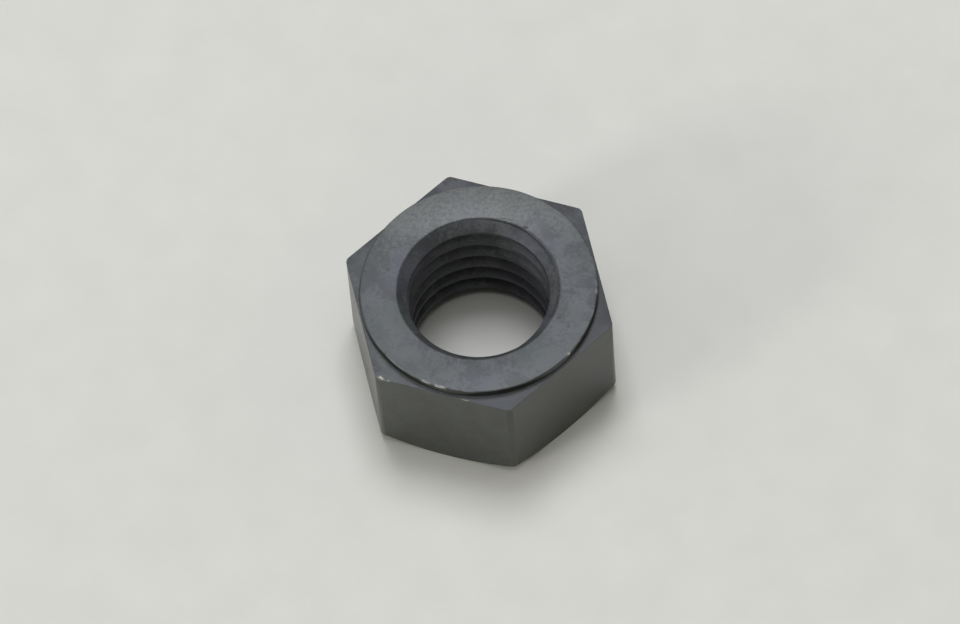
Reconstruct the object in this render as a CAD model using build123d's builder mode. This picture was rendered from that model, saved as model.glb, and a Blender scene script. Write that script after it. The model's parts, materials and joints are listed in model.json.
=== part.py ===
"""A black-oxide steel hex nut, 3/4-10 UNC, with a raised washer face and a countersunk, tapped bore.

Millimetres. +Z is the thread axis and points out of the washer face. The origin is the centre of
the bottom face. Corners of the hexagon lie on +X and -X, two of its flats face +Y and -Y.
"""
from build123d import *
from build123d.topology import SkipClean
import os
from math import ceil, cos, radians, tan

os.makedirs("parts", exist_ok=True)

# ---- driving dimensions (mm and degrees) ----

across_flats = 28.575            # the spanner size, 1 1/8 inch
nut_height = 15.9                # bottom face to washer face
corner_radius = 0.8              # rounding of the six upright edges, as the bar was drawn

washer_face_inset = 0.28         # the washer face stops this far inside each flat
washer_face_step = 1.1           # how far the washer face stands above the shoulder
step_root_radius = 0.2           # the turning tool's nose, left where the step meets the shoulder
washer_face_edge_radius = 0.15   # the worn outer edge of the washer face

thread_diameter = 19.05          # major diameter, 3/4 inch
thread_pitch = 2.54              # ten threads to the inch
thread_flank_angle = 60          # included angle of the groove
thread_depth = 1.19              # groove depth below the crests, which a 21/32 inch tap drill leaves
thread_start_angle = 20          # where the middle of the groove crosses the bottom face
countersink_oversize = 0.25      # countersink rim over the major diameter
countersink_angle = 90           # included angle of both countersinks

bottom_chamfer_angle = 30        # slope of the corner chamfer, from the bottom face
bottom_chamfer_inset = 0.05      # the chamfer's circle lies this far inside each flat

# ---- sizes that follow ----

bore_diameter = thread_diameter - 2 * thread_depth
shoulder_height = nut_height - washer_face_step
washer_face_radius = across_flats / 2 - washer_face_inset
corner_reach = across_flats / 2 / cos(radians(30))
countersink_radius = (thread_diameter + countersink_oversize) / 2
countersink_depth = (countersink_radius - bore_diameter / 2) / tan(radians(countersink_angle / 2))
bottom_chamfer_radius = across_flats / 2 - bottom_chamfer_inset
bottom_chamfer_rise = (corner_reach - bottom_chamfer_radius) * tan(radians(bottom_chamfer_angle))

# The groove is cut turn by turn, from one pitch below the bottom face to past the washer face.
# The cutter reaches a little inside the bore's wall, so that it cuts cleanly.
turn_count = ceil(nut_height / thread_pitch) + 2
cutter_overreach = thread_pitch / 10
root_flat = thread_pitch / 8
groove_inner_radius = bore_diameter / 2 - cutter_overreach
groove_outer_radius = thread_diameter / 2
groove_mouth = root_flat + 2 * (thread_depth + cutter_overreach) * tan(radians(thread_flank_angle / 2))


# ---- the tap: one turn of a right-hand groove with straight flanks and a flat root ----

with BuildPart() as groove_turn:
    with BuildLine():
        lead = Helix(
            pitch=thread_pitch,
            height=thread_pitch,
            radius=groove_outer_radius,
            center=(0, 0, -thread_pitch),
        )
    with BuildSketch(Plane.XZ):
        with BuildLine():
            Polyline(
                (groove_inner_radius, -thread_pitch - groove_mouth / 2),
                (groove_outer_radius, -thread_pitch - root_flat / 2),
                (groove_outer_radius, -thread_pitch + root_flat / 2),
                (groove_inner_radius, -thread_pitch + groove_mouth / 2),
                close=True,
            )
        make_face()
    sweep(path=lead, is_frenet=True)


# ---- the nut: hexagon bar, turned, drilled, countersunk and tapped ----

with BuildPart() as whole_nut:
    # hexagon bar up to the shoulder, with its drawn corners
    with BuildSketch() as bar_section:
        RegularPolygon(across_flats / 2, 6, major_radius=False)
        fillet(bar_section.vertices(), corner_radius)
    extrude(amount=shoulder_height)

    # raised washer face, turned down to just under the flats
    with BuildSketch(Plane.XY.offset(shoulder_height)):
        Circle(washer_face_radius)
    extrude(amount=washer_face_step)
    turned_edges = whole_nut.edges().filter_by(GeomType.CIRCLE).filter_by(lambda e: e.radius > corner_radius)
    fillet(turned_edges.sort_by(Axis.Z)[-1], washer_face_edge_radius)
    fillet(turned_edges.sort_by(Axis.Z)[0], step_root_radius)

    # the corners of the bottom face are chamfered by one cone
    with BuildSketch(Plane.XZ):
        with BuildLine():
            Polyline(
                (bottom_chamfer_radius, 0),
                (corner_reach, 0),
                (corner_reach, bottom_chamfer_rise),
                close=True,
            )
        make_face()
    revolve(axis=Axis.Z, mode=Mode.SUBTRACT)

    # bore, then the groove right through it
    Cylinder(
        bore_diameter / 2,
        nut_height,
        align=(Align.CENTER, Align.CENTER, Align.MIN),
        mode=Mode.SUBTRACT,
    )
    for turn in range(turn_count):
        with Locations(Location((0, 0, turn * thread_pitch), (0, 0, thread_start_angle))):
            add(groove_turn.part, mode=Mode.SUBTRACT)

    # a countersink at each end
    with Locations(Plane.XY):
        Cone(
            countersink_radius,
            bore_diameter / 2,
            countersink_depth,
            align=(Align.CENTER, Align.CENTER, Align.MIN),
            mode=Mode.SUBTRACT,
        )
    with Locations(Plane.XY.offset(nut_height)):
        Cone(
            bore_diameter / 2,
            countersink_radius,
            countersink_depth,
            align=(Align.CENTER, Align.CENTER, Align.MAX),
            mode=Mode.SUBTRACT,
        )


# Each thread crest is one face for a full turn. Halving the nut and joining it again without
# merging its faces leaves shorter crest faces, each of which lies close to one height.
with BuildPart() as nut_body:
    add(whole_nut.part.split(Plane.XZ, keep=Keep.TOP))
    with SkipClean():
        add(whole_nut.part.split(Plane.XZ, keep=Keep.BOTTOM), clean=False)

nut_body.part.label = "nut_body"
export_step(nut_body.part, "parts/nut_body.step")

print("bore", round(bore_diameter, 3), "countersink depth", round(countersink_depth, 3))
print("volume", round(nut_body.part.volume, 1), "valid", nut_body.part.is_valid)
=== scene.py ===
# %% [markdown]
# # A blackened steel hex nut
#
# The object is one piece of steel. A hexagon bar is turned on a lathe, which leaves a raised round
# washer face at one end and a cone over the corners at the other. The bar is drilled, countersunk
# at both ends and tapped, and then blackened in a hot oxide bath. This lesson makes it in the same
# order, because each cut then leaves its own true edge, as it does on the real nut.

# %% Load the frame
import json
from math import cos, pi, radians, sin, tan

import bmesh
import bpy
from mathutils import Euler, Matrix, Vector


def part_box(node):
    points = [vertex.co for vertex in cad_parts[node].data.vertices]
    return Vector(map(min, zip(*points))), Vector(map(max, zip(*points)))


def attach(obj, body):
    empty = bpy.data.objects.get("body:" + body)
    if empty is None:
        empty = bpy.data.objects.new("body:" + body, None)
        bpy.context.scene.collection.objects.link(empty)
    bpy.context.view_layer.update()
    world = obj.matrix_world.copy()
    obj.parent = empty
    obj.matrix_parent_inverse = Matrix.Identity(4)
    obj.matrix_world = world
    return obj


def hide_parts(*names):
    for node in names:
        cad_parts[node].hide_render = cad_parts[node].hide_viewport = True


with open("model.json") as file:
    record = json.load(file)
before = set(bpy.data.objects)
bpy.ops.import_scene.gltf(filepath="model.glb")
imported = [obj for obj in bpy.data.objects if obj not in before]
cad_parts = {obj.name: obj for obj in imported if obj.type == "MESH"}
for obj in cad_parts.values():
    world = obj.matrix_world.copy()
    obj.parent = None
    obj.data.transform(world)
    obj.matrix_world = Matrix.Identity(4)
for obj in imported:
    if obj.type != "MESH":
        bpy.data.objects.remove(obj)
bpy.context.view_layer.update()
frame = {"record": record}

# %% [markdown]
# ## Sizes
#
# The overall sizes come from the frame, so the looks always fit the design. The others are those
# of a nut with a 3/4 inch, ten threads to the inch bore. Everything is written in millimetres and
# turned to metres by one factor.

# %% Sizes of the nut
mm = 0.001
low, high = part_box("nut_body")
across_flats = high.y - low.y
nut_height = high.z - low.z
thread_mount = next(m for m in frame["record"]["mounts"] if m["name"] == "thread")
bore_radius = thread_mount["dims"]["r_mm"] * mm
thread_length = thread_mount["dims"]["length_mm"] * mm

thread_diameter = 19.05 * mm
thread_pitch = 2.54 * mm
thread_flank = radians(30)
thread_start = radians(20)
countersink_slope = radians(45)
washer_face_inset = 0.28 * mm
washer_face_step = 1.1 * mm
step_root_radius = 0.2 * mm
washer_edge_radius = 0.15 * mm
upright_corner_radius = 0.8 * mm
bottom_chamfer_inset = 0.05 * mm
bottom_chamfer_slope = radians(30)

washer_face_radius = across_flats / 2 - washer_face_inset
shoulder_height = nut_height - washer_face_step
countersink_depth = (nut_height - thread_length) / 2
countersink_radius = bore_radius + countersink_depth * tan(countersink_slope)
thread_radius = thread_diameter / 2
thread_depth = thread_radius - bore_radius
print("across flats", round(across_flats / mm, 3), "height", round(nut_height / mm, 3), "mm")

# %% [markdown]
# ## Camera
#
# A small turned part is looked at from above and a little from the right, from about a metre away
# with a long lens, so that its parallel edges stay almost parallel. The camera is placed by its
# azimuth, its elevation and a slight roll, around a point it aims at.

# %% Camera
camera_distance = 983 * mm
picture_width = 114.4 * mm
sensor_width = 36.0
aim_point = Vector((-1.72, 4.11, 2.58)) * mm
azimuth, elevation, roll = radians(21.76), radians(59.94), radians(-5.12)

camera_turn = (
    Matrix.Rotation(azimuth, 4, "Z")
    @ Matrix.Rotation(pi / 2 - elevation, 4, "X")
    @ Matrix.Rotation(roll, 4, "Z")
)
camera_data = bpy.data.cameras.new("camera")
camera_data.sensor_width = sensor_width
camera_data.lens = sensor_width * camera_distance / picture_width
camera_data.clip_start = 10 * mm
camera = bpy.data.objects.new("camera", camera_data)
camera_step_back = Matrix.Translation((0, 0, camera_distance))
camera.matrix_world = Matrix.Translation(aim_point) @ camera_turn @ camera_step_back
bpy.context.scene.collection.objects.link(camera)
bpy.context.scene.camera = camera
print("lens", round(camera_data.lens, 1), "mm")


# %% [markdown]
# ## Helpers
#
# Colours are written as sRGB hex values, as a paint chart gives them, and one function turns them
# to the linear values that a shader needs. A second small function adds any node, with its
# settings and links, and gives back the output that the next node needs.

# %% Colour and node helpers
def linear(hex_colour):
    """The linear RGBA of an sRGB hex colour such as 8a8f90."""
    values = []
    for start in (0, 2, 4):
        channel = int(hex_colour[start:start + 2], 16) / 255
        values.append(channel / 12.92 if channel <= 0.04045 else ((channel + 0.055) / 1.055) ** 2.4)
    return (*values, 1.0)


def add_node(tree, kind, *inputs, output=None, **settings):
    """Adds one node and gives its output: the first one in use, unless it is named.

    inputs are values or sockets, in the order in which the node shows them. A setting with a capital
    is an input by its name, such as Scale, and one without is a property, such as operation.
    """
    node = tree.nodes.new("ShaderNode" + kind)
    named_inputs = {name: settings.pop(name) for name in list(settings) if name[0].isupper()}
    for name, value in settings.items():
        setattr(node, name, value)
    in_use = [socket for socket in node.inputs if socket.enabled]
    filled = list(zip(in_use, inputs))
    filled += [(node.inputs[name], value) for name, value in named_inputs.items()]
    for socket, value in filled:
        if isinstance(value, bpy.types.NodeSocket):
            tree.links.new(value, socket)
        else:
            socket.default_value = value
    return node.outputs[output] if output else next(o for o in node.outputs if o.enabled)


print("sRGB 808080 is linear", round(linear("808080")[0], 3))

# %% [markdown]
# ## Floor
#
# The nut lies on a plain sheet of matt paper. The sheet is one square, and its finish is nearly one
# colour: its fibres make a slow, faint mottle, and one noise between two near whites gives that.

# %% Floor
floor_half_width = 600 * mm
paper_cloud_width = 6.25 * mm

floor_mesh = bpy.data.meshes.new("floor")
bm = bmesh.new()
bmesh.ops.create_grid(bm, x_segments=1, y_segments=1, size=floor_half_width)
bm.to_mesh(floor_mesh)
bm.free()
floor = bpy.data.objects.new("floor", floor_mesh)
bpy.context.scene.collection.objects.link(floor)

paper = bpy.data.materials.new("matt_uncoated_paper")
paper.use_nodes = True
paper_tree = paper.node_tree
paper_shader = paper_tree.nodes["Principled BSDF"]
paper_place = add_node(paper_tree, "TexCoord", output="Object")
paper_clouds = add_node(paper_tree, "TexNoise", paper_place, Scale=1 / paper_cloud_width, Detail=4.0)
paper_whites = (linear("d9d8d2"), linear("e2e1db"))
paper_colour = add_node(paper_tree, "Mix", paper_clouds, *paper_whites, data_type="RGBA")
paper_tree.links.new(paper_colour, paper_shader.inputs["Base Color"])
paper_shader.inputs["Roughness"].default_value = 0.8
floor_mesh.materials.append(paper)
print("floor is", round(2 * floor_half_width, 2), "m wide")

# %% [markdown]
# ## Light
#
# A light room has a bright window side and pale walls. Two steep boxes stand for the ceiling and the
# window behind: they light the near side of what is seen through the bore, and leave its far side
# in shade. Wide weak boxes left, right and in front stand for the walls, which the countersinks and
# the flats mirror. A small low one at the front left gives the long faint shadow.

# %% Lights
lamp_distance = 1200 * mm


def soft_box(name, azimuth_degrees, elevation_degrees, size, power, colour):
    """A square lamp that faces the nut. Azimuth 0 is the front, at -Y. size is in metres."""
    lamp_data = bpy.data.lights.new(name, "AREA")
    lamp_data.size = size
    lamp_data.energy = power
    lamp_data.color = linear(colour)[:3]
    lamp = bpy.data.objects.new(name, lamp_data)
    turn = Euler((pi / 2 - radians(elevation_degrees), 0, radians(azimuth_degrees))).to_matrix().to_4x4()
    lamp.matrix_world = turn @ Matrix.Translation((0, 0, lamp_distance))
    bpy.context.scene.collection.objects.link(lamp)


soft_box("ceiling", 202, 90, 0.6, 2.6, "fbfcff")
soft_box("window", 202, 70, 0.5, 7.1, "f6f9ff")
soft_box("left_wall", -68, 35, 1.0, 1.5, "fcfeff")
soft_box("right_wall", 112, 30, 1.0, 1.2, "fffef6")
soft_box("front_wall", 22, 15, 1.0, 1.8, "fffff3")
soft_box("low_front_left", -42, 22, 0.25, 3.2, "fefffa")

# %% Room
room_strength = 0.14

world = bpy.data.worlds.new("pale_room")
world.use_nodes = True
bpy.context.scene.world = world
world.node_tree.nodes["Background"].inputs["Color"].default_value = linear("fffff2")
world.node_tree.nodes["Background"].inputs["Strength"].default_value = room_strength
bpy.context.scene.view_settings.view_transform = "Standard"
print("room", world.name, "strength", room_strength)

# %% [markdown]
# ## The hexagon bar
#
# Drawn bar has six flats and slightly rounded upright corners. A circle of six points is extruded,
# and a bevel on the six upright edges gives the drawn corners.

# %% Hexagon bar
bar_corner_steps = 8


def hexagon_bar(bottom, top):
    """A bmesh of the bar, with corners on +X and -X."""
    bar = bmesh.new()
    corner_reach = across_flats / 2 / cos(pi / 6)
    bmesh.ops.create_circle(bar, cap_ends=True, segments=6, radius=corner_reach)
    bmesh.ops.rotate(bar, verts=bar.verts, matrix=Matrix.Rotation(pi / 2, 3, "Z"))
    bmesh.ops.translate(bar, verts=bar.verts, vec=(0, 0, bottom))
    lifted = bmesh.ops.extrude_face_region(bar, geom=bar.faces[:])
    lifted_verts = [g for g in lifted["geom"] if isinstance(g, bmesh.types.BMVert)]
    bmesh.ops.translate(bar, verts=lifted_verts, vec=(0, 0, top - bottom))
    upright = [e for e in bar.edges if abs(e.verts[0].co.z - e.verts[1].co.z) > nut_height / 2]
    bmesh.ops.bevel(
        bar,
        geom=upright,
        offset=upright_corner_radius * tan(pi / 6),
        affect="EDGES",
        segments=bar_corner_steps,
        profile=0.5,
        material=-1,
    )
    bmesh.ops.recalc_face_normals(bar, faces=bar.faces)
    return bar


print("bar corners rounded to", round(upright_corner_radius / mm, 2), "mm")

# %% [markdown]
# ## What the lathe leaves
#
# Everything that is turned has one outline, spun round the thread's axis: the cone over the bottom
# corners, the shoulder, the step and its small root, the washer face, and the drilled and
# countersunk bore. The countersinks' rims are rounded a little. Keeping what the bar and this
# turned ring share is what the lathe does.

# %% Turned ring
turning_steps = 180
lip_radius = 0.35 * mm
lip_steps = 3
edge_steps = 4
ring_radius = across_flats * 0.7
merge_distance = 0.0005 * mm


def arc(centre, radius, start_degrees, end_degrees, steps):
    """Points of a circular arc in the outline's plane, as (distance from axis, height)."""
    angles = [radians(start_degrees + (end_degrees - start_degrees) * i / steps) for i in range(steps + 1)]
    return [(centre[0] + radius * cos(a), centre[1] + radius * sin(a)) for a in angles]


def turned_outline():
    """The closed outline of the turned ring, anticlockwise from the bottom countersink."""
    chamfer_radius = across_flats / 2 - bottom_chamfer_inset
    chamfer_rise = (ring_radius - chamfer_radius) * tan(bottom_chamfer_slope)
    step_foot = (washer_face_radius + step_root_radius, shoulder_height + step_root_radius)
    edge_centre = (washer_face_radius - washer_edge_radius, nut_height - washer_edge_radius)
    lip_out = countersink_radius + lip_radius * tan(countersink_slope / 2)
    outline = [(chamfer_radius, 0), (ring_radius, chamfer_rise), (ring_radius, shoulder_height)]
    outline += arc(step_foot, step_root_radius, 270, 180, edge_steps)
    outline += arc(edge_centre, washer_edge_radius, 0, 90, edge_steps)
    outline += arc((lip_out, nut_height - lip_radius), lip_radius, 90, 135, lip_steps)
    outline += [(bore_radius, nut_height - countersink_depth), (bore_radius, countersink_depth)]
    outline += arc((lip_out, lip_radius), lip_radius, 225, 270, lip_steps)
    return outline


def turned_ring():
    """The outline spun round the axis, as a bmesh."""
    ring = bmesh.new()
    corners = [ring.verts.new((r, 0, z)) for r, z in turned_outline()]
    loop = [ring.edges.new((a, b)) for a, b in zip(corners, corners[1:] + corners[:1])]
    bmesh.ops.spin(
        ring,
        geom=corners + loop,
        cent=(0, 0, 0),
        axis=(0, 0, 1),
        angle=2 * pi,
        steps=turning_steps,
        use_merge=True,
    )
    bmesh.ops.remove_doubles(ring, verts=ring.verts, dist=merge_distance)
    bmesh.ops.recalc_face_normals(ring, faces=ring.faces)
    return ring


print("turned outline has", len(turned_outline()), "points")

# %% [markdown]
# ## The tap
#
# A tap cuts one groove that climbs one pitch in each turn. Its section is spun with a small climb
# at each step, so the same operator that made the ring makes the helix. The groove reaches past
# both ends of the nut. Real crests have slightly rounded edges, and each of them catches a spark
# of light, so the section has an arc there. The root stays flat.

# %% Tap
tap_turns = 9
steps_per_turn = 180
half_step = pi / steps_per_turn
crest_edge_radius = 0.15 * mm
crest_edge_cutoff = 15
crest_edge_steps = 3
tap_overreach = thread_pitch / 50


def tap_section():
    """The groove's section at the start of the helix, as (distance from axis, height)."""
    # the flat root is an eighth of the pitch wide
    half_root = thread_pitch / 8 / 2
    half_mouth = half_root + thread_depth * tan(thread_flank)
    # the crest's edge is an arc between the bore and the flank, cut off before it meets the bore
    arc_centre = (bore_radius + crest_edge_radius, half_mouth + crest_edge_radius * tan(thread_flank))
    crest_edge = arc(arc_centre, crest_edge_radius, 180 + crest_edge_cutoff, 240, crest_edge_steps)
    first_radius, first_height = crest_edge[0]
    run_out = (tap_overreach + first_radius - bore_radius) / tan(radians(crest_edge_cutoff))
    upper = [(bore_radius - tap_overreach, first_height + run_out), *crest_edge]
    upper.append((thread_radius, half_root))
    lower = [(r, -z) for r, z in reversed(upper)]
    return upper + lower


def helical_tap():
    """The groove as a closed bmesh."""
    tap = bmesh.new()
    start_height = -thread_pitch + thread_pitch * half_step / (2 * pi)
    corners = [tap.verts.new((r, 0, z + start_height)) for r, z in tap_section()]
    section = tap.faces.new(corners)
    bmesh.ops.rotate(tap, verts=corners, matrix=Matrix.Rotation(thread_start + half_step, 3, "Z"))
    bmesh.ops.spin(
        tap,
        geom=corners + section.edges[:] + [section],
        cent=(0, 0, 0),
        axis=(0, 0, 1),
        dvec=(0, 0, thread_pitch / steps_per_turn),
        angle=2 * pi * tap_turns,
        steps=tap_turns * steps_per_turn,
        use_merge=False,
    )
    bmesh.ops.recalc_face_normals(tap, faces=tap.faces)
    return tap


print("tap section has", len(tap_section()), "points and", tap_turns, "turns")

# %% [markdown]
# ## Cutting
#
# The bar, the ring and the tap meet in two exact Boolean cuts: what bar and ring share, less the
# groove. The cuts are made at once and their tools thrown away, so one clean mesh is left.

# %% Cut the nut from the bar
def mesh_object(name, shape):
    """A mesh object made from a bmesh, linked into the scene."""
    mesh = bpy.data.meshes.new(name)
    shape.to_mesh(mesh)
    shape.free()
    made = bpy.data.objects.new(name, mesh)
    bpy.context.scene.collection.objects.link(made)
    return made


def cut_with(target, tool, operation):
    """Applies one exact Boolean to target and removes the tool."""
    boolean = target.modifiers.new(operation.lower(), "BOOLEAN")
    boolean.operation = operation
    boolean.solver = "EXACT"
    boolean.object = tool
    applied = bpy.data.meshes.new_from_object(target.evaluated_get(bpy.context.evaluated_depsgraph_get()))
    target.modifiers.remove(boolean)
    target.data = applied
    bpy.data.objects.remove(tool)


spare_bar = nut_height / 2
nut = mesh_object("blackened_nut", hexagon_bar(-spare_bar, nut_height + spare_bar))
cut_with(nut, mesh_object("turned_ring", turned_ring()), "INTERSECT")
cut_with(nut, mesh_object("tap", helical_tap()), "DIFFERENCE")
print("nut has", len(nut.data.polygons), "faces")

# %% [markdown]
# ## Edges
#
# No edge of a real nut is perfectly sharp: tumbling and handling round the ones where the flats
# meet the shoulder and the bottom cone. Those edges are picked by what they join, and bevelled.

# %% Round the edges of the flats
edge_rounding = 0.12 * mm
edge_steps_of_flats = 3
sliver = 0.002 * mm
most_lift_of_upright = 0.02
least_lift_of_slope = 0.3


def flat_borders(shape):
    """Edges between an upright outer face and one that slopes or lies level."""
    found = []
    for edge in shape.edges:
        if len(edge.link_faces) != 2:
            continue
        middle = (edge.verts[0].co + edge.verts[1].co) / 2
        lifts = sorted(abs(face.normal.z) for face in edge.link_faces)
        outer = middle.xy.length > washer_face_radius + 0.5 * washer_face_inset
        if outer and lifts[0] < most_lift_of_upright and lifts[1] > least_lift_of_slope:
            found.append(edge)
    return found


shape = bmesh.new()
shape.from_mesh(nut.data)
bmesh.ops.remove_doubles(shape, verts=shape.verts, dist=sliver)
bmesh.ops.dissolve_degenerate(shape, edges=shape.edges, dist=sliver)
borders = flat_borders(shape)
print("borders", len(borders), "shortest", round(min(e.calc_length() for e in borders) / mm, 4), "mm")
bmesh.ops.bevel(
    shape,
    geom=borders,
    offset=edge_rounding,
    affect="EDGES",
    segments=edge_steps_of_flats,
    profile=0.5,
    material=-1,
    clamp_overlap=True,
)
open_edges = sum(not e.is_manifold for e in shape.edges)
print("open edges", open_edges, "volume", round(shape.calc_volume() / mm**3, 1), "cubic mm")
shape.to_mesh(nut.data)
shape.free()

# %% [markdown]
# ## Nicks
#
# Loose nuts knock against each other, which dents an edge here and there and breaks the oxide. Each
# nick is a flattened ball that lies along the edge it hit. The balls are taken away one by one, as
# some of them overlap and a cut needs a tool that doesn't cross itself.

# %% Nicks from handling
nick_width = 0.14 * mm
nick_depth = 0.1 * mm
top_mm = nut_height / mm
shoulder_mm = shoulder_height / mm

# azimuth in degrees, radius, height, half length (mm), skew in degrees, and how much steel shows
nick_places = [
    (-9.3, 14.02, top_mm, 0.7, 8, 0.7),
    (-1.6, 14.02, top_mm, 0.8, -6, 0.9),
    (-27.2, 16.1, shoulder_mm, 0.7, 25, 0.9),
    (-24.4, 15.85, shoulder_mm, 0.5, -12, 0.8),
    (10.5, 14.6, shoulder_mm, 0.45, 15, 0.6),
    (66.6, 13.98, top_mm, 0.3, 20, 1.0),
    (178.0, 9.85, top_mm, 0.7, 4, 0.25),
    (163.0, 9.8, top_mm, 0.35, 30, 0.0),
    (104.0, 14.0, top_mm, 0.45, -15, 0.5),
    (-121.0, 14.5, shoulder_mm, 0.5, 12, 0.5),
]


def around_axis(azimuth_degrees, radius, height):
    """A point, in the units given, with azimuth 0 at -Y and turning towards +X."""
    angle = radians(azimuth_degrees)
    return Vector((radius * sin(angle), -radius * cos(angle), height))


def nick_ball(azimuth_degrees, radius, height, half_length, skew):
    """One flattened ball that lies along an edge, as a bmesh."""
    ball = bmesh.new()
    centre = around_axis(azimuth_degrees, radius, height) * mm
    flattened = Matrix.Diagonal((half_length * mm, nick_width, nick_depth, 1))
    turn = Matrix.Rotation(radians(azimuth_degrees + skew), 4, "Z")
    placed = Matrix.Translation(centre) @ turn @ flattened
    bmesh.ops.create_icosphere(ball, subdivisions=3, radius=1, matrix=placed)
    return ball


for azimuth_degrees, radius, height, half_length, skew, _steel in nick_places:
    ball = nick_ball(azimuth_degrees, radius, height, half_length, skew)
    cut_with(nut, mesh_object("nick_ball", ball), "DIFFERENCE")
print("nicks", len(nick_places), "faces", len(nut.data.polygons))

# %% [markdown]
# ## Shading of the faces
#
# Turned and rounded faces are shaded smooth, up to a sharp edge. The faces that are truly flat are
# told so, or the nicks at their borders would tilt the light all across them.

# %% Smooth and flat faces
sharp_degrees = 28
flat_area = 4 * mm**2

nut.data.shade_smooth()
nut.data.set_sharp_from_angle(angle=radians(sharp_degrees))
large_faces = [face for face in nut.data.polygons if face.area > flat_area]
for face in large_faces:
    face.use_smooth = False
finished = bmesh.new()
finished.from_mesh(nut.data)
print("flat faces", len(large_faces), "open edges", sum(not e.is_manifold for e in finished.edges))
print("triangles", len(finished.calc_loop_triangles()))
finished.free()

# %% [markdown]
# ## The finish
#
# Hot black oxide is a thin crust of magnetite, grown on the steel in a boiling bath and oiled. It is
# dark, faintly blue, and partly matt: some light is scattered by the crust and some is mirrored
# softly. It varies with the cut below it. A turned face is rougher and keeps fine rings, and a
# drawn flat is smoother and keeps fine lines along the bar. The masks below are made from place
# and direction on the nut: distance from the axis, height, and how far a face looks up or down.

# %% Places on the nut for the finish
oxide = bpy.data.materials.new("hot_black_oxide_on_turned_steel")
oxide.use_nodes = True
tree = oxide.node_tree
oxide_shader = tree.nodes["Principled BSDF"]
smooth = {"interpolation_type": "SMOOTHSTEP"}
in_colour = {"data_type": "RGBA"}

# from here on, places in the finish are in millimetres
in_metres = add_node(tree, "TexCoord", output="Object")
place = add_node(tree, "Mapping", in_metres, Scale=(1 / mm, 1 / mm, 1 / mm))
across, along, height = add_node(tree, "SeparateXYZ", place).node.outputs
level = add_node(tree, "CombineXYZ", across, along)
from_axis = add_node(tree, "VectorMath", level, operation="LENGTH")
in_profile = add_node(tree, "CombineXYZ", from_axis, height)
facing = add_node(tree, "SeparateXYZ", add_node(tree, "TexCoord", output="Normal"), output="Z")
tilt = add_node(tree, "Math", facing, operation="ABSOLUTE")
print("nodes for places", len(tree.nodes))

# %% Masks of the turned, upper and shoulder faces
rim_mm = countersink_radius / mm
face_edge_mm = washer_face_radius / mm

inside_bore = add_node(tree, "MapRange", from_axis, rim_mm + 0.1, rim_mm - 0.05, **smooth)
level_faces = add_node(tree, "MapRange", tilt, 0.3, 0.6, **smooth)
turned = add_node(tree, "Math", level_faces, inside_bore, operation="MAXIMUM")
upward = add_node(tree, "MapRange", facing, 0.9, 0.98, **smooth)
near_top = add_node(tree, "MapRange", height, top_mm - 0.3, top_mm - 0.1, **smooth)
on_top = add_node(tree, "Math", upward, near_top, operation="MULTIPLY")
below_top = add_node(tree, "Math", 1.0, on_top, operation="SUBTRACT")
on_shoulder = add_node(tree, "Math", upward, below_top, operation="MULTIPLY")
print("washer face at", round(top_mm, 2), "shoulder at", round(shoulder_mm, 2), "mm")

# %% [markdown]
# ## Colour of the oxide
#
# The bath leaves slow clouds of darker and lighter grey with some violet and some grey-green in
# them. Noises on Object coordinates give that, and hold it still on the nut. The scale of each
# noise is one over the width of its features, in millimetres. The turned faces and the drawn flats
# have two greys each.

# %% Clouds and tints
cloud_width = 2.86
grain_width = 0.455
tint_width = 6.25
grain_share = 0.4

clouds = add_node(tree, "TexNoise", place, Scale=1 / cloud_width, Detail=5.0, Roughness=0.65)
grain = add_node(tree, "TexNoise", place, Scale=1 / grain_width, Detail=4.0, Roughness=0.7)
mottle = add_node(tree, "Mix", grain_share, clouds, grain)
tint_place = add_node(tree, "Mapping", place, Location=(31, 7, 12))
tint = add_node(tree, "TexNoise", tint_place, Scale=1 / tint_width, Detail=2.0)

turned_patches = add_node(tree, "MapRange", mottle, 0.42, 0.58, **smooth)
turned_grey = add_node(tree, "Mix", turned_patches, linear("3f4144"), linear("56585b"), **in_colour)
violet_patches = add_node(tree, "MapRange", tint, 0.52, 0.66, 0.0, 0.4, **smooth)
violet_grey = add_node(tree, "Mix", violet_patches, turned_grey, linear("4f4e5d"), **in_colour)
green_patches = add_node(tree, "MapRange", tint, 0.46, 0.34, 0.0, 0.4, **smooth)
green_grey = add_node(tree, "Mix", green_patches, violet_grey, linear("4a514f"), **in_colour)
drawn_patches = add_node(tree, "MapRange", mottle, 0.4, 0.6, **smooth)
drawn_grey = add_node(tree, "Mix", drawn_patches, linear("424442"), linear("4a4d49"), **in_colour)
grey = add_node(tree, "Mix", turned, drawn_grey, green_grey, **in_colour)
print("clouds", cloud_width, "grain", grain_width, "tints", tint_width, "mm wide")

# %% [markdown]
# ## Salt specks
#
# A little salt from the bath is trapped on the washer face and shows as faint dark specks, in
# loose groups. Voronoi cells place them, a slow noise sizes them, and a fine one frays their edges.

# %% Specks on the washer face
speck_spacing = 1.43
speck_group_width = 1.667
speck_fray_width = 0.167

speck_gap = add_node(tree, "TexVoronoi", place, Scale=1 / speck_spacing, Randomness=1.0)
fray = add_node(tree, "TexNoise", place, Scale=1 / speck_fray_width, Detail=3.0)
frayed_gap = add_node(tree, "Math", fray, 0.16, speck_gap, operation="MULTIPLY_ADD")
speck_groups = add_node(tree, "TexNoise", tint_place, Scale=1 / speck_group_width, Detail=1.0)
speck_size = add_node(tree, "MapRange", speck_groups, 0.46, 0.66, 0.0, 0.28, **smooth)
speck_depth = add_node(tree, "Math", speck_size, frayed_gap, operation="SUBTRACT")
faint_specks = add_node(tree, "MapRange", speck_depth, -0.02, 0.05, 0.0, 0.6, **smooth)
specks = add_node(tree, "Math", faint_specks, on_top, operation="MULTIPLY")
specked = add_node(tree, "Mix", specks, grey, linear("2e2f30"), **in_colour)
print("specks about", speck_spacing, "mm apart")

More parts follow.
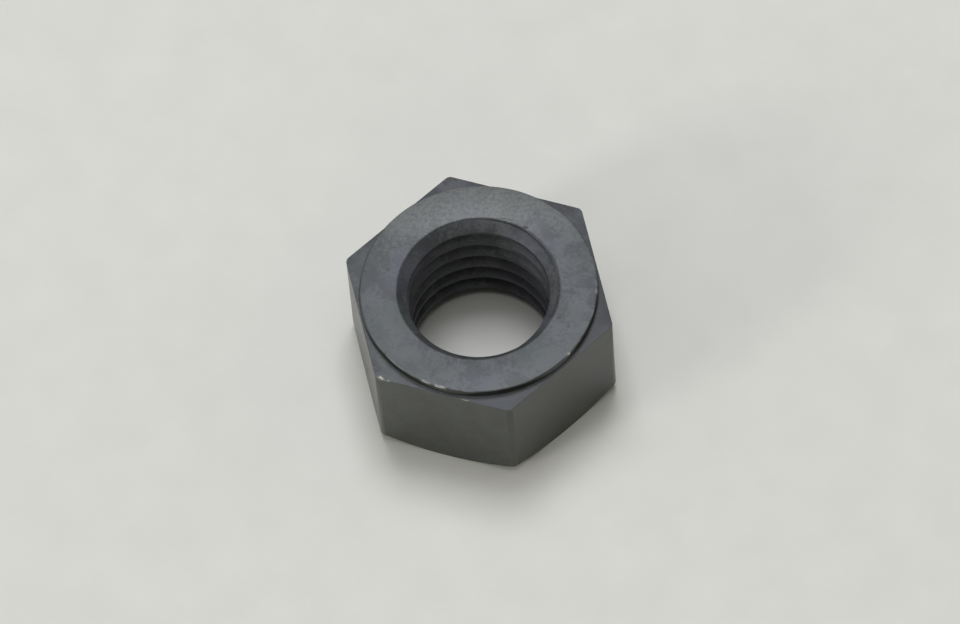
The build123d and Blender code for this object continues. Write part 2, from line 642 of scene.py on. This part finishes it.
# %% [markdown]
# ## Painted light and shade
#
# The back of the washer face is painted paler, as painted light, and the shoulder is painted darker
# on the front right, as painted shade. The low wall of the step is painted dark as painted shade, the
# darkest place outside the bore. Each of these mixes one colour in through a mask, and the grain breaks up
# the painted light.

# %% Painted light on the back, painted shade on the shoulder and the step wall
painted_light_azimuth = 198
painted_shade_azimuth = 60


def towards(azimuth_degrees):
    """How far a place lies to one side of the axis: 1 at the washer face's edge, -1 opposite."""
    side = around_axis(azimuth_degrees, 1.0 / face_edge_mm, 0.0)
    return add_node(tree, "VectorMath", level, side, operation="DOT_PRODUCT")


# painted light: the back of the washer face, on the side of the window lamp, is painted paler, broken up
# by the grain
backward = add_node(tree, "Math", clouds, 0.5, towards(painted_light_azimuth), operation="MULTIPLY_ADD")
painted_light_back = add_node(tree, "MapRange", backward, 0.55, 1.05, **smooth)
painted_light_top = add_node(tree, "Math", on_top, painted_light_back, operation="MULTIPLY")
painted_light_grain = add_node(tree, "MapRange", grain, 0.35, 0.62, 0.3, 0.6, **smooth)
painted_light = add_node(tree, "Math", painted_light_top, painted_light_grain, operation="MULTIPLY")
painted_light_colour = add_node(tree, "Mix", painted_light, specked, linear("747674"), **in_colour)

# painted shade: the shoulder is painted darker on the front right, where the step wall shades it
forward = add_node(tree, "MapRange", towards(painted_shade_azimuth), -0.3, 0.8, 0.0, 0.8, **smooth)
painted_shade_front = add_node(tree, "Math", on_shoulder, forward, operation="MULTIPLY")
painted_shade_colour = add_node(tree, "Mix", painted_shade_front, painted_light_colour, linear("34363a"), **in_colour)

# painted shade: the upright wall of the step is painted nearly black, as the shade it stands in
upright = add_node(tree, "MapRange", tilt, 0.7, 0.3, 0.0, 0.8, **smooth)
above_shoulder = add_node(tree, "MapRange", height, shoulder_mm, shoulder_mm + 0.08, **smooth)
on_step = add_node(tree, "Math", upright, above_shoulder, operation="MULTIPLY")
outside_bore = add_node(tree, "Math", 1.0, inside_bore, operation="SUBTRACT")
painted_step_shade = add_node(tree, "Math", on_step, outside_bore, operation="MULTIPLY")
oxide_with_painted_light_colour = add_node(tree, "Mix", painted_step_shade, painted_shade_colour, linear("262724"), **in_colour)
print("nodes for the oxide's colour", len(tree.nodes))

# %% [markdown]
# ## Worn edges
#
# Edges rub first. Along the rims of the washer face and countersinks and along the borders of the
# flats the oxide is thinner and paler in stretches. The rims are found in the profile plane, by
# distance from the axis and height, and the borders of the flats by their slant.

# %% Wear
wear_width = 3.03
outer_rim_reach = 0.14
bore_rim_reach = 0.12
rim_inset = washer_edge_radius * 0.3


def near_profile_point(radius, level_height, reach):
    """1 on the circle with this radius and height, 0 further than reach from it, in mm."""
    circle = (radius / mm, level_height / mm, 0)
    gap = add_node(tree, "VectorMath", in_profile, circle, operation="DISTANCE")
    return add_node(tree, "MapRange", gap, reach, reach * 0.3, **smooth)


outer_rim = near_profile_point(washer_face_radius - rim_inset, nut_height - rim_inset, outer_rim_reach)
steep_enough = add_node(tree, "MapRange", tilt, 0.15, 0.45, **smooth)
shallow_enough = add_node(tree, "MapRange", tilt, 0.82, 0.55, **smooth)
slanting = add_node(tree, "Math", steep_enough, shallow_enough, operation="MULTIPLY")
outside = add_node(tree, "MapRange", from_axis, face_edge_mm + 0.12, face_edge_mm + 0.3, **smooth)
flat_rims = add_node(tree, "Math", slanting, outside, operation="MULTIPLY")
outer_rims = add_node(tree, "Math", outer_rim, flat_rims, operation="MAXIMUM")

top_rim = near_profile_point(countersink_radius, nut_height, bore_rim_reach)
bottom_rim = near_profile_point(countersink_radius, 0, bore_rim_reach)
both_bore_rims = add_node(tree, "Math", top_rim, bottom_rim, operation="MAXIMUM")
bore_rims = add_node(tree, "Math", both_bore_rims, 0.4, operation="MULTIPLY")
rims = add_node(tree, "Math", outer_rims, bore_rims, operation="MAXIMUM")

wear_noise = add_node(tree, "TexNoise", tint_place, Scale=1 / wear_width, Detail=3.0, Roughness=0.6)
wear_stretches = add_node(tree, "MapRange", wear_noise, 0.44, 0.62, 0.0, 0.7, **smooth)
wear = add_node(tree, "Math", rims, wear_stretches, operation="MULTIPLY")
worn_colour = add_node(tree, "Mix", wear, oxide_with_painted_light_colour, linear("7d7f80"), **in_colour)
print("rims found at", round(face_edge_mm, 2), "and", round(rim_mm, 2), "mm")

# %% [markdown]
# ## Bare steel
#
# In the nicks the oxide is broken and dull bright steel shows. Each nick has a mask of its own, long
# along the edge and short across it, with a ragged end.

# %% Bare steel in the nicks
steel_grain_width = 0.2
steel_reach = 0.3

steel_grain = add_node(tree, "TexNoise", place, Scale=1 / steel_grain_width, Detail=2.0)
off_middle = add_node(tree, "Math", steel_grain, 0.5, operation="SUBTRACT")
ragged = add_node(tree, "Math", off_middle, 1.2, operation="MULTIPLY")
bare = 0.0
for azimuth_degrees, radius, nick_height, half_length, _skew, steel in nick_places:
    spot = around_axis(azimuth_degrees, radius, nick_height)
    gap = add_node(tree, "VectorMath", place, spot, operation="DISTANCE")
    ragged_gap = add_node(tree, "Math", gap, ragged, operation="ADD")
    fade = (half_length, half_length * 0.6, 0.0, steel)
    lengthwise = add_node(tree, "MapRange", ragged_gap, *fade, **smooth)
    crosswise = near_profile_point(radius * mm, nick_height * mm, steel_reach)
    patch = add_node(tree, "Math", lengthwise, crosswise, operation="MULTIPLY")
    bare = add_node(tree, "Math", bare, patch, operation="MAXIMUM")

final_colour = add_node(tree, "Mix", bare, worn_colour, linear("9c9b96"), **in_colour)
tree.links.new(final_colour, oxide_shader.inputs["Base Color"])
print("nicks with steel", sum(steel > 0 for *_place, steel in nick_places))

# %% [markdown]
# ## Gloss and fine relief
#
# The oiled crust is only partly a metal to the eye, and bare steel nearly wholly. The gloss is broken
# by the same mottle as the colour, and worn edges are smoother. The relief is some thousandths of a
# millimetre: pits of the crust everywhere, rings on turned faces, and lines along the bar on the
# flats. Rings come from a noise that only changes with the distance from the axis and the height,
# and lines from one that is stretched along the height. The real rings are finer than these, which
# are as coarse as they need to be to show.

# %% Metal and roughness
metal_of_oxide = 0.3
metal_of_steel = 0.9
flat_roughness = 0.32
turned_roughness = 0.5

metal = add_node(tree, "MapRange", bare, 0.0, 1.0, metal_of_oxide, metal_of_steel)
tree.links.new(metal, oxide_shader.inputs["Metallic"])
base_roughness = add_node(tree, "Mix", turned, flat_roughness, turned_roughness)
mottle_off_middle = add_node(tree, "Math", mottle, 0.5, operation="SUBTRACT")
broken_roughness = add_node(tree, "Math", mottle_off_middle, 0.2, base_roughness, operation="MULTIPLY_ADD")
roughness = add_node(tree, "Math", wear, -0.08, broken_roughness, operation="MULTIPLY_ADD")
tree.links.new(roughness, oxide_shader.inputs["Roughness"])
print("roughness", flat_roughness, "on the flats and", turned_roughness, "where turned")

# %% Relief
ring_width = 0.2
line_width = 0.167
pit_width = 0.143
line_stretch = 0.03
relief_depth = 0.02 * mm
pit_share = 0.6

rings = add_node(tree, "TexNoise", in_profile, Scale=1 / ring_width, Detail=2.0)
stretched = add_node(tree, "Mapping", place, Scale=(1, 1, line_stretch))
lines = add_node(tree, "TexNoise", stretched, Scale=1 / line_width, Detail=2.0)
tool_marks = add_node(tree, "Mix", turned, lines, rings)
pits = add_node(tree, "TexNoise", place, Scale=1 / pit_width, Detail=3.0, Roughness=0.6)
relief = add_node(tree, "Mix", pit_share, tool_marks, pits)
relief_normal = add_node(tree, "Bump", Strength=0.3, Distance=relief_depth, Height=relief)
tree.links.new(relief_normal, oxide_shader.inputs["Normal"])
nut.data.materials.clear()
nut.data.materials.append(oxide)
print("nodes in the finish", len(tree.nodes))

# %% [markdown]
# ## Hand over
#
# The finished mesh stands for the CAD node, rides on the one body and takes the record's finish.

# %% Tie the piece to the frame
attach(nut, "root")
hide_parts("nut_body")
print(nut.name, "stands for nut_body")
